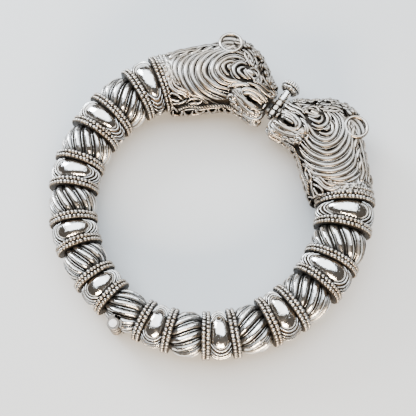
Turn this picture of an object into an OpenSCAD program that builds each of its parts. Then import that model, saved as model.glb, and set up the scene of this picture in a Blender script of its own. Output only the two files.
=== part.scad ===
/* [Band] */
// Radius of the circle that the middle of the band follows
mid_r = 37.5; // [36:0.5:42]
// Pairs of one plain and one swirl bead in each half, after the hinge bead
bead_pairs = 4; // [3:1:4]
// Turn of the ring from collar to collar over a swirl bead, in degrees
swirl_turn = 14.8; // [13:0.1:15.4]
// Turn from collar to collar over a plain bead
plain_turn = 11.1; // [10:0.1:11.6]
// Turn from collar to collar over the bead that the hinge splits
hinge_turn = 17; // [16:0.5:19]
// Turn over the last plain bead, next to the neck
neck_turn = 11.2; // [10:0.1:13]
// Radius of the collars next to the hinge
back_r = 5.8; // [5.4:0.1:6.2]
// Radius of the neck collars, the thickest of the band
neck_r = 8.4; // [8:0.1:9]
// Clearance between neighbouring pieces of one half
seam = 0.05; // [0.03:0.01:0.1]

/* [Collars] */
// Width of a collar, two beaded wires side by side
collar_w = 2.2; // [1.8:0.1:2.6]
// How far the wires stand proud of the strip under them
wire_h = 0.7; // [0.5:0.1:1]

/* [Beads] */
// How far a bead's middle lies under the rim of its collars
bead_drop = 0.35; // [0.2:0.05:0.8]
// Fall of a bead from its middle to its ends
bead_fall = 1.5; // [0.8:0.1:2]
// Flutes round a swirl bead
flutes = 12; // [8:1:14]
// Depth of the grooves between the flutes
flute_depth = 0.8; // [0.3:0.1:1]
// Turn of a flute from one end of its bead to the other
flute_twist = 42; // [20:1:60]

/* [Heads] */
// Height of a head, from its inner to its outer edge
head_h = 19.5; // [18.5:0.5:21]
// How far the cheeks lie under the rim of the neck collar
cheek_in = 0.7; // [0.6:0.1:1.4]
// Radius of an ear
ear_r = 3.6; // [3:0.1:3.8]
// Thickness of an ear
ear_t = 1.5; // [1.2:0.1:2]
// Radius of the curls on the brow
curl_r = 1.35; // [1:0.05:1.6]
// Radius of a lock of hair
lock_r = 0.6; // [0.4:0.05:0.8]
// Width of the slit of the open mouth
mouth_w = 1.7; // [1.2:0.1:2]

/* [Clasp] */
// Radius of the screw pin
pin_r = 0.9; // [0.7:0.05:1]
// Radius of the pin's knob
knob_r = 2.5; // [2.1:0.1:2.8]
// Running clearance round the pin and the rivet
running = 0.05; // [0.03:0.01:0.09]
// Wall round the pin in an eye
eye_wall = 0.4; // [0.35:0.05:0.6]
// Height of one of the three eyes along the pin
eye_h = 1.6; // [1.4:0.1:1.8]
// Gap between the eyes
eye_gap = 0.2; // [0.15:0.05:0.3]

/* [Hinge] */
// How far the hinge axis stands outwards from the middle of the band
hinge_out = 5.3; // [5:0.1:5.6]
// Outer radius of the hinge tube
tube_r = 1.55; // [1.4:0.05:1.7]
// Radius of the rivet
rivet_r = 0.65; // [0.5:0.05:0.8]
// Height of the hinge tube
tube_h = 9; // [8:0.5:10]
// Clearance between what turns round the hinge and the beads
swing = 0.25; // [0.2:0.05:0.35]

/* [Hidden] */
$fn = 48;
silver = "silver";
shaded = "darkgray";
// Turns from the hinge to every collar of a half; the last one is the neck collar
steps = [for (i = [1:bead_pairs]) each [plain_turn, swirl_turn]];
collar_at = [for (i = [0:2 * bead_pairs]) hinge_turn / 2 + sum(steps, i)];
neck_at = collar_at[2 * bead_pairs] + neck_turn;
every_collar = concat(collar_at, [neck_at]);
sides = [["left", -1], ["right", 1]];

// Radius of a collar's wire as a share of collar_w; over a quarter, so that the two wires join
wire_share = 0.27;

// Beads: points round, and rings along
round_n = 3 * flutes;
along_n = 6;
// The end of a bead falls further on the outer side of the ring
outer_lean = 0.25;
// Power of the curve by which a bead falls; a low one is round, a high one flat with round shoulders
fall_power = 2.6;
// Share of its depth that a groove loses at the ends of its bead
flute_fade = 0.5;
// Share of the length at which the first ring of a half bead stands after its flat end
first_share = 0.001;
// Fall of a plain bead as a share of bead_fall, and its turned length before its ends are cut slanting
plain_fall = 0.8;
overrun = 1.4;

// Head: shares along it from neck to snout, then its outer and inner edge from the
// middle of the band as shares of head_h, then its half width as a share of head_w
head_rows = [
    // along, outer, inner, width
    [0.00, 0.41, 0.49, 0.48],
    [0.07, 0.40, 0.53, 0.50],
    [0.20, 0.39, 0.55, 0.50],
    [0.30, 0.41, 0.55, 0.50],
    [0.39, 0.45, 0.54, 0.50],
    [0.48, 0.50, 0.53, 0.49],
    [0.57, 0.53, 0.51, 0.47],
    [0.67, 0.49, 0.52, 0.44],
    [0.75, 0.41, 0.55, 0.40],
    [0.81, 0.30, 0.58, 0.36],
    [0.87, 0.17, 0.61, 0.31],
    [0.92, 0.07, 0.62, 0.26],
    [0.97, 0.03, 0.60, 0.22],
    [1.00, 0.00, 0.51, 0.18]];
head_n = 32;
head_w = 2 * (neck_r - cheek_in);
section_power = 0.8;
// Turn of the ring at which a head starts, before its neck is cut off along the collar, and at which
// its snout ends
head_from = neck_at + asin((collar_w / 2 + seam) / (mid_r + head_h / 2));
head_to = 177.6;
head_long = mid_r * (head_to - head_from) * PI / 180;
// A lock or ear lies on the skin as far as this share of the way to the edge
edge_share = 0.98;
// Flat front of a snout, away from the plane of the gap
snout_x = 1.85;
// What the flat front is cut off with
front_cut = 10;
// Ears: their place along the left and the right head, how far their top stands over its outer edge,
// their middle's distance from the middle of the band, their lean, and their profile as shares of
// ear_r and ear_t
ear_shares = [0.533, 0.475];
ear_up = 1.05;
ear_out = 6.3;
ear_lean = 8;
ear_rows = [[0, -0.5], [0.9, -0.5], [1, 0], [0.93, 0.5], [0.72, 0.5], [0.6, 0.17], [0, 0.17]];
// Curls across the brow, as shares along the head
curl_shares = [0.61, 0.67, 0.73, 0.79, 0.85];
curl_sink = 0.5;
curl_reach = 0.5;
// Scallops along the inner edge
scallop_shares = [0.07, 0.15, 0.23, 0.31, 0.39, 0.47];
scallop_r = 1.3;
scallop_sink = 0.7;
scallop_reach = 0.6;
// Corner and front of the mouth, from the plane of the gap and in from the middle of the band
mouth_front = [4.8, 7.7];
mouth_corner = [8.4, 8];
// Locks round the cheek: their middle and reach as shares along the head, their height as a share of head_h
lock_rows = [
    // middle, reach, height
    [0.67, 0.06, 0.09],
    [0.62, 0.13, 0.17],
    [0.57, 0.20, 0.26],
    [0.52, 0.26, 0.34],
    [0.47, 0.33, 0.41]];
lock_from = 65;
lock_to = 300;
lock_n = 9;
lock_tip = 0.35;

// Clasp, along the pin
eye_r = pin_r + running + eye_wall;
eyes_in = 4.4;
eyes_mid = mid_r - eyes_in;
rod_end = 0.8;
rod_from = eyes_mid - 1.5 * eye_h - eye_gap - rod_end;
knob_out = 1.9;
knob_from = mid_r + knob_out;
knob_h = 1.5 * knob_r;
knob_lobes = 8;
lobe_r = 0.3 * knob_r;
lobe_up = 0.36 * knob_h;
// The knob's underside as shares of knob_r and knob_h, up to its round top
knob_rows = [[0, 0], [0.52, 0], [0.75, 0.2]];
knob_waist = 0.42;

// Hinge, along its axis
hinge_at = mid_r + hinge_out;
hinge_z = lift(0);
knuckle_h = tube_h / 3;
knuckle_gap = 0.1;
leaf_t = 0.5;
leaf_angle = 60;
// Turn of a leaf's middle from the inner side of the band
leaf_turn = 55;
// Half the width of the web between a knuckle and its leaf
web = 0.6;
rivet_head_r = tube_r - 0.5;
rivet_head_h = 0.4;

function sum(v, n) = n <= 0 ? 0 : v[n - 1] + sum(v, n - 1);
// Radius of the band's collars at a turn from the hinge, which is also the height of its middle
function rim(turn) = back_r + (neck_r - back_r) * min(1, abs(turn) / neck_at);
function lift(turn) = rim(turn);

// Share of a bead's fall at a share of its length from its middle, a flat crown with round shoulders
function fall(share) = pow(abs(share), fall_power);

// Half the length of a bead at an offset outwards from the middle of the band
function reach(half_turn, out) =
    ((mid_r + out) * sin(half_turn) - collar_w / 2 - seam) / cos(half_turn);

// Radius of a swirl bead, a crown that falls to its ends, with a groove at every third point round
function fluted(crown, share, k) =
    crown - bead_fall * fall(share) * (1 + outer_lean * cos(360 * k / round_n))
    - (k % 3 == 0 ? flute_depth * (1 - flute_fade * fall(share)) : 0);

// A ring of a swirl bead at a share of its length, which runs from 0 at start to 1 or -1 at its ends
function bead_ring(crown, half_turn, share, start) = [
    for (k = [0:round_n - 1])
        let (r = fluted(crown, share, k),
             turn = 360 * k / round_n + flute_twist * share / 2,
             out = r * cos(turn),
             far = reach(half_turn, out),
             x = start + (sign(share) * far - start) * abs(share))
        [x, -mid_r - out, r * sin(turn)]];

// A closed skin over rings of points, with a point in the middle of each end
module skin(rings) {
    n = len(rings[0]);
    m = len(rings);
    points = [for (ring = rings) each ring];
    ends = [for (ring = [rings[0], rings[m - 1]]) [for (i = [0:2]) sum_of(ring, i, n) / n]];
    sides_of = [for (i = [0:m - 2], k = [0:n - 1])
        let (a = i * n + k, b = i * n + (k + 1) % n)
        each [[a, b, b + n], [a, b + n, a + n]]];
    first = [for (k = [0:n - 1]) [m * n, (k + 1) % n, k]];
    last = [for (k = [0:n - 1]) [m * n + 1, (m - 1) * n + k, (m - 1) * n + (k + 1) % n]];
    polyhedron(points = concat(points, ends), faces = concat(sides_of, first, last), convexity = 4);
}
function sum_of(ring, i, n) = n <= 0 ? 0 : ring[n - 1][i] + sum_of(ring, i, n - 1);

// Stands a piece, made at the hinge with the band along X, at a turn on its side of the ring
module place(side, turn) {
    translate([0, 0, lift(turn)]) rotate([0, 0, side * turn]) children();
}

module swirl_bead(side, turn, half_turn) {
    color(silver) place(side, turn)
        skin([for (i = [0:along_n])
            bead_ring(rim(turn) - bead_drop, half_turn, 2 * i / along_n - 1, 0)]);
}

// Keeps what lies between the flat faces of the collars on both sides of a bead
module between_collars(half_turn) {
    intersection() {
        children();
        inside_collar(half_turn, -1);
        inside_collar(half_turn, 1);
    }
}
module inside_collar(half_turn, end) {
    big = 4 * neck_r;
    rotate([0, 0, end * half_turn])
        translate([end * (-collar_w / 2 - seam - big / 2), -mid_r, 0]) cube(big, center = true);
}

module plain_bead(side, turn, half_turn) {
    crown = rim(turn) - bead_drop;
    long = overrun * reach(half_turn, 0);
    steps_n = 12;
    outline = [for (i = [0:steps_n])
        let (share = 2 * i / steps_n - 1)
        [crown - plain_fall * bead_fall * fall(share), long * share]];
    color(silver) place(side, turn) between_collars(half_turn)
        translate([0, -mid_r, 0]) rotate([0, 90, 0]) rotate_extrude()
            polygon(concat([[0, -long]], outline, [[0, long]]));
}

// Two round wires on the rim of a flat strip
module collar(side, turn) {
    r = rim(turn);
    wire_r = wire_share * collar_w;
    color(shaded) place(side, turn) translate([0, -mid_r, 0]) rotate([0, 90, 0]) {
        cylinder(r = r - wire_h, h = collar_w, center = true);
        rotate_extrude() for (end = [-1, 1])
            translate([r - wire_r, end * (collar_w / 2 - wire_r)]) circle(r = wire_r, $fn = 24);
    }
}

// Half of the bead over the hinge, cut out round the tube
module hinge_bead(side) {
    crown = rim(0) - bead_drop;
    color(silver) difference() {
        place(side, 0) skin([for (i = [0:along_n / 2])
            side > 0
                ? bead_ring(crown, hinge_turn / 2, max(2 * i / along_n, first_share), seam)
                : bead_ring(crown, hinge_turn / 2, min(2 * i / along_n - 1, -first_share), -seam)]);
        translate([0, -hinge_at, 0])
            cylinder(r = tube_r + swing + leaf_t + seam, h = 4 * back_r);
    }
}

// Edges and half width of a head at a share along it
function outer_edge(along) = mid_r + head_h * lookup(along, [for (row = head_rows) [row[0], row[1]]]);
function inner_edge(along) = mid_r - head_h * lookup(along, [for (row = head_rows) [row[0], row[2]]]);
function half_width(along) = head_w * lookup(along, [for (row = head_rows) [row[0], row[3]]]);
function head_turn(along) = head_from + (head_to - head_from) * along;

// Point of the ring at a share along the head, a radius and a height over the middle
function head_point(along, r, z) = [r * sin(head_turn(along)), -r * cos(head_turn(along)), neck_r + z];

// How far a head's skin lies from the middle plane at a share along it and a radius
function skin_z(along, r) =
    let (mid = (outer_edge(along) + inner_edge(along)) / 2,
         half = (outer_edge(along) - inner_edge(along)) / 2,
         share = min(edge_share, abs(r - mid) / half))
    half_width(along) * pow(1 - pow(share, 2 / section_power), section_power / 2);

function head_ring(along) =
    let (mid = (outer_edge(along) + inner_edge(along)) / 2,
         half = (outer_edge(along) - inner_edge(along)) / 2)
    [for (k = [0:head_n - 1])
        let (c = cos(360 * k / head_n), s = sin(360 * k / head_n))
        head_point(along,
            mid + half * sign(c) * pow(abs(c), section_power),
            half_width(along) * sign(s) * pow(abs(s), section_power))];

// A lock of hair, a five-sided strand that lies on the cheek in a C round its own middle
function lock_place(row, turn) = [row[0] + row[1] * cos(turn), mid_r + head_h * row[2] * sin(turn)];
module lock(row, face) {
    rings = [for (i = [0:lock_n])
        let (turn = lock_from + (lock_to - lock_from) * i / lock_n,
             here = lock_place(row, turn),
             z = skin_z(here[0], here[1]),
             thick = lock_r * (lock_tip + (1 - lock_tip) * sin(180 * (i + 0.5) / (lock_n + 1))))
        [for (k = [0:4])
            let (a = -72 * k,
                 across = thick * cos(a),
                 up = thick * sin(a),
                 r = here[1] + across * sin(turn),
                 along = here[0] + across * cos(turn) / head_long)
            head_point(along, r, face * z + up)]];
    skin(rings);
}

module ear(side, face) {
    share = ear_shares[side < 0 ? 0 : 1];
    turn = head_turn(share);
    r = outer_edge(share) - ear_r + ear_up;
    translate([r * sin(turn), -r * cos(turn), neck_r + face * ear_out])
        rotate([0, 0, turn]) rotate([face * ear_lean, 0, 0])
            rotate_extrude($fn = 22)
                polygon([for (row = ear_rows) [ear_r * row[0], ear_t * row[1]]]);
}

// A bar across the head with round ends, which stands out of its skin
module across_head(along, r, radius, half_z) {
    hull() for (end = [-1, 1])
        translate(head_point(along, r, end * half_z)) sphere(r = radius, $fn = 8);
}

module head(side) {
    color(silver) mirror([side < 0 ? 1 : 0, 0, 0]) difference() {
        union() {
            skin([for (row = head_rows) head_ring(row[0])]);
            for (face = [-1, 1]) {
                ear(side, face);
                for (row = lock_rows) lock(row, face);
            }
            for (along = curl_shares)
                across_head(along, outer_edge(along) - curl_r * curl_sink, curl_r,
                    half_width(along) * curl_reach);
            for (along = scallop_shares)
                across_head(along, inner_edge(along) + scallop_r * scallop_sink, scallop_r,
                    half_width(along) * scallop_reach);
        }
        // The open mouth, a leaf through the snout
        translate([0, 0, neck_r]) linear_extrude(height = head_w, center = true) hull() {
            translate([mouth_front[0], mid_r - mouth_front[1]]) circle(r = mouth_w / 2, $fn = 12);
            translate([mouth_corner[0], mid_r - mouth_corner[1]]) circle(r = mouth_w / 6, $fn = 8);
        }
        translate([snout_x - front_cut, 0, -neck_r]) cube([front_cut, 2 * mid_r, 4 * neck_r]);
        neck_cut();
    }
}

// What a head is cut off with at its neck, along the flat side of the collar
module neck_cut() {
    big = 4 * neck_r;
    place(1, neck_at) translate([collar_w / 2 + seam - big / 2, -mid_r, 0]) cube(big, center = true);
}

// An eye for the pin, with the tab that carries it on the flat front of its snout
module eye(side, at) {
    translate([0, at - eye_h / 2, neck_r]) {
        rotate([-90, 0, 0]) cylinder(r = eye_r, h = eye_h);
        translate([side < 0 ? -snout_x + seam : 0, 0, -eye_r]) cube([snout_x - seam, eye_h, 2 * eye_r]);
    }
}
module pin_bore() {
    translate([0, rod_from - 1, neck_r]) rotate([-90, 0, 0])
        cylinder(r = pin_r + running, h = knob_from - rod_from + 2);
}
module clasp_eyes_left() {
    step = eye_h + eye_gap;
    color(silver) difference() {
        union() {
            eye(-1, eyes_mid - step);
            eye(-1, eyes_mid + step);
        }
        pin_bore();
    }
}

module clasp_eye_right() {
    color(silver) difference() {
        eye(1, eyes_mid);
        pin_bore();
    }
}

// The screw pin and its lobed knob, one piece, along Y
module clasp_pin() {
    color(silver) translate([0, 0, neck_r]) rotate([-90, 0, 0]) {
        translate([0, 0, rod_from]) cylinder(r = pin_r, h = knob_from - rod_from + lobe_up);
        translate([0, 0, knob_from]) rotate_extrude() polygon(concat(
            [for (row = knob_rows) [knob_r * row[0], knob_h * row[1]]],
            [for (a = [0:15:90])
                [knob_r * cos(a), knob_h * (knob_waist + (1 - knob_waist) * sin(a))]]));
        for (k = [0:knob_lobes - 1])
            rotate([0, 0, 360 * k / knob_lobes])
                translate([knob_r - lobe_r, 0, knob_from + lobe_up]) sphere(r = lobe_r);
    }
}

// Knuckle i of three round the hinge axis, with its bore
module knuckle(i) {
    translate([0, -hinge_at, hinge_z - tube_h / 2 + i * knuckle_h + knuckle_gap / 2])
        children();
}
module hinge_leaf(side, knuckles) {
    color(shaded) difference() {
        union() {
            for (i = knuckles) knuckle(i) {
                cylinder(r = tube_r, h = knuckle_h - knuckle_gap);
                rotate([0, 0, 90 - side * leaf_turn]) translate([tube_r - web, -web, 0])
                    cube([swing + web + leaf_t / 2, 2 * web, knuckle_h - knuckle_gap]);
            }
            translate([0, -hinge_at, hinge_z - tube_h / 2])
                rotate_extrude(angle = leaf_angle, start = 90 - side * leaf_turn - leaf_angle / 2)
                    translate([tube_r + swing, 0]) square([leaf_t, tube_h]);
        }
        translate([0, -hinge_at, 0]) cylinder(r = rivet_r + running, h = 4 * back_r);
    }
}

module hinge_rivet() {
    color(silver) translate([0, -hinge_at, hinge_z]) {
        cylinder(r = rivet_r, h = tube_h + 2 * seam, center = true);
        for (end = [-1, 1])
            translate([0, 0, end * (tube_h / 2 + seam + rivet_head_h / 2)])
                cylinder(r = rivet_head_r, h = rivet_head_h, center = true);
    }
}

// Middle and half of the turn between collar i and the one after it
function between(i) = (every_collar[i] + every_collar[i + 1]) / 2;
function half_between(i) = (every_collar[i + 1] - every_collar[i]) / 2;

for (s = sides) {
    hinge_bead(s[1]);
    for (i = [1:bead_pairs])
        swirl_bead(s[1], between(2 * i - 1), half_between(2 * i - 1));
    for (i = [1:bead_pairs + 1])
        plain_bead(s[1], between(2 * i - 2), half_between(2 * i - 2));
    for (i = [1:2 * bead_pairs + 1])
        collar(s[1], collar_at[i - 1]);
    collar(s[1], neck_at);
    head(s[1]);
}
clasp_eyes_left();
clasp_eye_right();
clasp_pin();
hinge_leaf(-1, [0, 2]);  // hinge_leaf_left
hinge_leaf(1, [1]);  // hinge_leaf_right
hinge_rivet();
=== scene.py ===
import bpy
import numpy as np
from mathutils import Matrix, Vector


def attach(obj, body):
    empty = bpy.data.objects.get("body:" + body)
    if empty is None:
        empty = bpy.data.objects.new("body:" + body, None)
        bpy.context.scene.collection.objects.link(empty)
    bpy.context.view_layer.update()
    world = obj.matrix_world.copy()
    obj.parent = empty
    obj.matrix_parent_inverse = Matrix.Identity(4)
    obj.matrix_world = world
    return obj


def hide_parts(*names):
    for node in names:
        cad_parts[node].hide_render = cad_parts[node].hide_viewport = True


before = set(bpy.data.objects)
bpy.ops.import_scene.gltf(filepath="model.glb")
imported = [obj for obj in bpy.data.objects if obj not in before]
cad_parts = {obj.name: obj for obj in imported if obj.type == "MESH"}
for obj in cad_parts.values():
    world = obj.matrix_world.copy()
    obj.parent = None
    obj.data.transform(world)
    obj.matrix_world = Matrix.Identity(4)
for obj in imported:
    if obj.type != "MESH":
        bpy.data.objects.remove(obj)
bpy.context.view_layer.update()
print("frame loaded")

mm = 0.001
turnAll = 2 * np.pi
sideways = [0.3, 0.5, 0.81]   # any direction that no skin faces exactly, to start a side from

# The band as the solids have it, in mm and degrees
band = {
    "midRadius": 37.5,        # of the ring, to the middle of the band
    "backRadius": 5.8,        # of the band at the hinge
    "neckRadius": 8.4,        # and at the necks
    "hingeTurn": 17.0,        # how far round each bead goes
    "swirlTurn": 14.8,
    "plainTurn": 11.1,
    "neckTurn": 11.2,
    "pairs": 4,               # of a plain and a swirl bead in each half
    "collarWidth": 2.2,
    "seam": 0.05,
    "crownDrop": 0.35,        # beads under the rim of the collars
}
sides = {"left": -1, "right": 1}

# Places of the collars round a half, from the hinge
collarTurns = [band["hingeTurn"] / 2]
for pair in range(band["pairs"]):
    collarTurns.append(collarTurns[-1] + band["plainTurn"])
    collarTurns.append(collarTurns[-1] + band["swirlTurn"])
neckTurn = collarTurns[-1] + band["neckTurn"]
allTurns = collarTurns + [neckTurn]


def rim(turn):
    # radius = back + (neck - back) * share of the way round to the neck
    share = np.minimum(1, np.abs(turn) / neckTurn)
    return band["backRadius"] + (band["neckRadius"] - band["backRadius"]) * share


def placeOnBand(points, side, turn):
    # Made at the hinge, band along X: lifted by the rim radius and turned about Z to its place
    a = np.radians(side * turn)
    x, y, z = points[..., 0], points[..., 1], points[..., 2]
    return np.stack([x * np.cos(a) - y * np.sin(a), x * np.sin(a) + y * np.cos(a), z + rim(turn)], -1)


def onBand(shells, side, turn):
    # Shells made at the hinge, each turned to its place
    return [(placeOnBand(points, side, turn), quads, tris, fade) for points, quads, tris, fade in shells]


def outFrom(a):
    # Straight out of the band at the angle a from its outer edge: (0, -cos a, sin a)
    return np.stack([np.zeros_like(a), -np.cos(a), np.sin(a)], -1)


def circle(count):
    # Angles of points that stand equally far apart round a circle
    return np.arange(count) * turnAll / count


def stepUp(value, low, high):
    # Smooth step: 3 t^2 - 2 t^3, where t goes from 0 at low to 1 at high
    t = np.clip((value - low) / (high - low), 0, 1)
    return t * t * (3 - 2 * t)


def unitOf(v):
    # Each vector over its own length
    return v / np.maximum(np.linalg.norm(v, axis=-1, keepdims=True), 1e-9)


# Every shell below is (points, quads, tris, fade): a closed mesh in mm, and at each point how bright it is
# painted,
# from 0 in a groove to 1 on a ridge: oxide and painted shade in the grooves, painted highlight on the ridges
# and tops
def gridShell(rows, fade=None):
    # Ring i joins ring i + 1, point j joins point j + 1 round the ring; both ends close in a fan
    n, m = rows.shape[:2]
    i, j = np.meshgrid(np.arange(n - 1), np.arange(m), indexing="ij")
    a, b = i * m + j, i * m + (j + 1) % m
    quads = np.stack([a, b, b + m, a + m], -1).reshape(-1, 4)
    points = np.concatenate([rows.reshape(-1, 3), rows[0].mean(0)[None], rows[-1].mean(0)[None]])
    k = np.arange(m)
    first = np.stack([(k + 1) % m, k, np.full(m, n * m)], -1)
    last = np.stack([(n - 1) * m + k, (n - 1) * m + (k + 1) % m, np.full(m, n * m + 1)], -1)
    if fade is None:
        fade = np.ones((n, m))
    fade = np.concatenate([fade.reshape(-1), [fade[0].mean()], [fade[-1].mean()]])
    return facedOut(points, quads, np.concatenate([first, last]), fade)


def ringShell(rows, fade=None):
    # A grid closed both ways, such as a wire loop
    n, m = rows.shape[:2]
    i, j = np.meshgrid(np.arange(n), np.arange(m), indexing="ij")
    a, b = i * m + j, i * m + (j + 1) % m
    c, d = (i + 1) % n * m + (j + 1) % m, (i + 1) % n * m + j
    quads = np.stack([a, b, c, d], -1).reshape(-1, 4)
    fade = np.ones(n * m) if fade is None else fade.reshape(-1)
    return facedOut(rows.reshape(-1, 3), quads, np.zeros((0, 3), int), fade)


def facedOut(points, quads, tris, fade):
    # Volume = sum of a . (b x c) / 6 over the triangles; where it is negative the faces are turned
    every = np.concatenate([quads[:, :3], quads[:, [0, 2, 3]], tris])
    a, b, c = points[every[:, 0]], points[every[:, 1]], points[every[:, 2]]
    if np.einsum("ij,ij->i", a, np.cross(b, c)).sum() < 0:
        quads, tris = quads[:, ::-1], tris[:, ::-1]
    return points, quads, tris, fade


def manyShells(unit, unitFade, quads, tris, centres, axes, sizes):
    # Copies of a small closed shape: point = centre + size * (x * axis0 + y * axis1 + z * axis2)
    k, v = len(centres), len(unit)
    points = centres[:, None] + sizes[:, None, None] * np.einsum("vi,kij->kvj", unit, axes)
    shift = (np.arange(k) * v)[:, None, None]
    return (points.reshape(-1, 3), (quads[None] + shift).reshape(-1, 4), (tris[None] + shift).reshape(-1, 3),
            np.tile(unitFade, k))


def makePiece(name, shells, body, finish, nodes, sharpAngle=None):
    # Puts all the shells of a piece into one mesh, in metres, with each point's painted brightness as an
    # attribute: oxide and painted shade in the grooves, painted highlight on the ridges
    points, faceSizes, corners, fades, base = [], [], [], [], 0
    for shellPoints, quads, tris, fade in shells:
        points.append(shellPoints)
        fades.append(fade)
        corners += [(quads + base).reshape(-1), (tris + base).reshape(-1)]
        faceSizes += [np.full(len(quads), 4), np.full(len(tris), 3)]
        base += len(shellPoints)
    points, corners, faceSizes = np.concatenate(points), np.concatenate(corners), np.concatenate(faceSizes)
    mesh = bpy.data.meshes.new(name)
    mesh.vertices.add(len(points))
    mesh.vertices.foreach_set("co", (points * mm).astype(np.float32).ravel())
    mesh.loops.add(len(corners))
    mesh.loops.foreach_set("vertex_index", corners.astype(np.int32))
    mesh.polygons.add(len(faceSizes))
    mesh.polygons.foreach_set("loop_start", np.concatenate([[0], np.cumsum(faceSizes)[:-1]]).astype(np.int32))
    mesh.polygons.foreach_set("use_smooth", np.ones(len(faceSizes), bool))
    mesh.update(calc_edges=True)
    mesh.validate()
    # The attribute holds the painted brightness: oxide and painted shade low, painted highlight high
    reliefAndShade = mesh.attributes.new("reliefAndShade", "FLOAT", "POINT")
    reliefAndShade.data.foreach_set("value", np.clip(np.concatenate(fades), 0, 1).astype(np.float32))
    if sharpAngle:
        mesh.set_sharp_from_angle(angle=np.radians(sharpAngle))
    mesh.materials.append(finish)
    piece = bpy.data.objects.new(name, mesh)
    bpy.context.scene.collection.objects.link(piece)
    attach(piece, body)
    if nodes:
        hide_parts(*nodes)
    return piece


def smoothPath(points, count):
    # Catmull-Rom: each stretch is the cubic of its four nearest points
    p = np.array(points, float)
    p = np.vstack([2 * p[0] - p[1], p, 2 * p[-1] - p[-2]])
    t = np.linspace(0, len(points) - 1 - 1e-9, count)
    i = t.astype(int)
    f = (t - i)[:, None]
    a, b, c, d = p[i], p[i + 1], p[i + 2], p[i + 3]
    square, cube = 2 * a - 5 * b + 4 * c - d, 3 * b - a - 3 * c + d
    return 0.5 * (2 * b + (c - a) * f + square * f ** 2 + cube * f ** 3)


def wireShell(path, normals, halfWide, halfHigh, around=8, tip=0.35, closed=False):
    # point(t, phi) = path(t) + swell(t) * (wide * cos phi * across + high * sin phi * normal), where swell
    # goes from the tip's share to 1: tip + (1 - tip) * sqrt(1 - |t|^3)
    if closed:
        tangent = unitOf(np.roll(path, -1, 0) - np.roll(path, 1, 0))
        swell = np.ones(len(path))
    else:
        tangent = unitOf(np.gradient(path, axis=0))
        t = np.linspace(-1, 1, len(path))
        swell = tip + (1 - tip) * np.sqrt(np.maximum(1 - np.abs(t) ** 3, 0))
    normals = unitOf(normals - tangent * (normals * tangent).sum(-1, keepdims=True))
    across = np.cross(tangent, normals)
    phi = circle(around)
    wide = (halfWide * swell)[:, None] * np.cos(phi)
    high = (halfHigh * swell)[:, None] * np.sin(phi)
    rows = path[:, None] + wide[..., None] * across[:, None] + high[..., None] * normals[:, None]
    # Painted brightness: highlight over the wire's top, painted shade on its underside
    fade = np.tile(0.25 + 0.75 * np.clip(np.sin(phi), 0, 1), (len(path), 1))
    return ringShell(rows, fade) if closed else gridShell(rows, fade)


def cappedShell(rows, fade, rings=3):
    # Flat ends: rings that shrink to the middle of the first and last row, painted dark all over as shade
    # where they meet the next part
    shares = np.linspace(0, 1, rings + 2)[1:-1]
    first, last = rows[0], rows[-1]
    start = [first.mean(0) + (first - first.mean(0)) * share for share in shares]
    end = [last.mean(0) + (last - last.mean(0)) * share for share in shares[::-1]]
    grid = np.concatenate([np.stack(start), rows, np.stack(end)])
    dark = np.zeros((rings, rows.shape[1]))
    return gridShell(grid, np.concatenate([dark, fade, dark]))


def ballUnit(around, stacks, squash=1.0):
    # Sphere: (sin v cos u, sin v sin u, squash * cos v), its poles single points
    v = np.linspace(0, np.pi, stacks + 1)[1:-1]
    u = circle(around)
    rows = np.stack([np.sin(v)[:, None] * np.cos(u), np.sin(v)[:, None] * np.sin(u),
                     np.cos(v)[:, None] * np.ones(around) * squash], -1)
    points, quads, tris, fade = gridShell(rows)
    points[-2:] = [[0, 0, squash], [0, 0, -squash]]
    return points, quads, tris


def scatterBalls(points, normals, sizes, around=9, stacks=6, squash=0.85, shine=0.25):
    # Balls with their poles along the normals, painted brightest at the outer pole as a highlight and shaded
    # towards the inner one
    unit, quads, tris = ballUnit(around, stacks, squash)
    side = unitOf(np.cross(normals, sideways))
    axes = np.stack([side, np.cross(normals, side), normals], 1)
    fade = shine + (1 - shine) * np.clip(unit[:, 2] * 1.3, 0, 1)
    return manyShells(unit, fade, quads, tris, points, axes, sizes)


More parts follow.
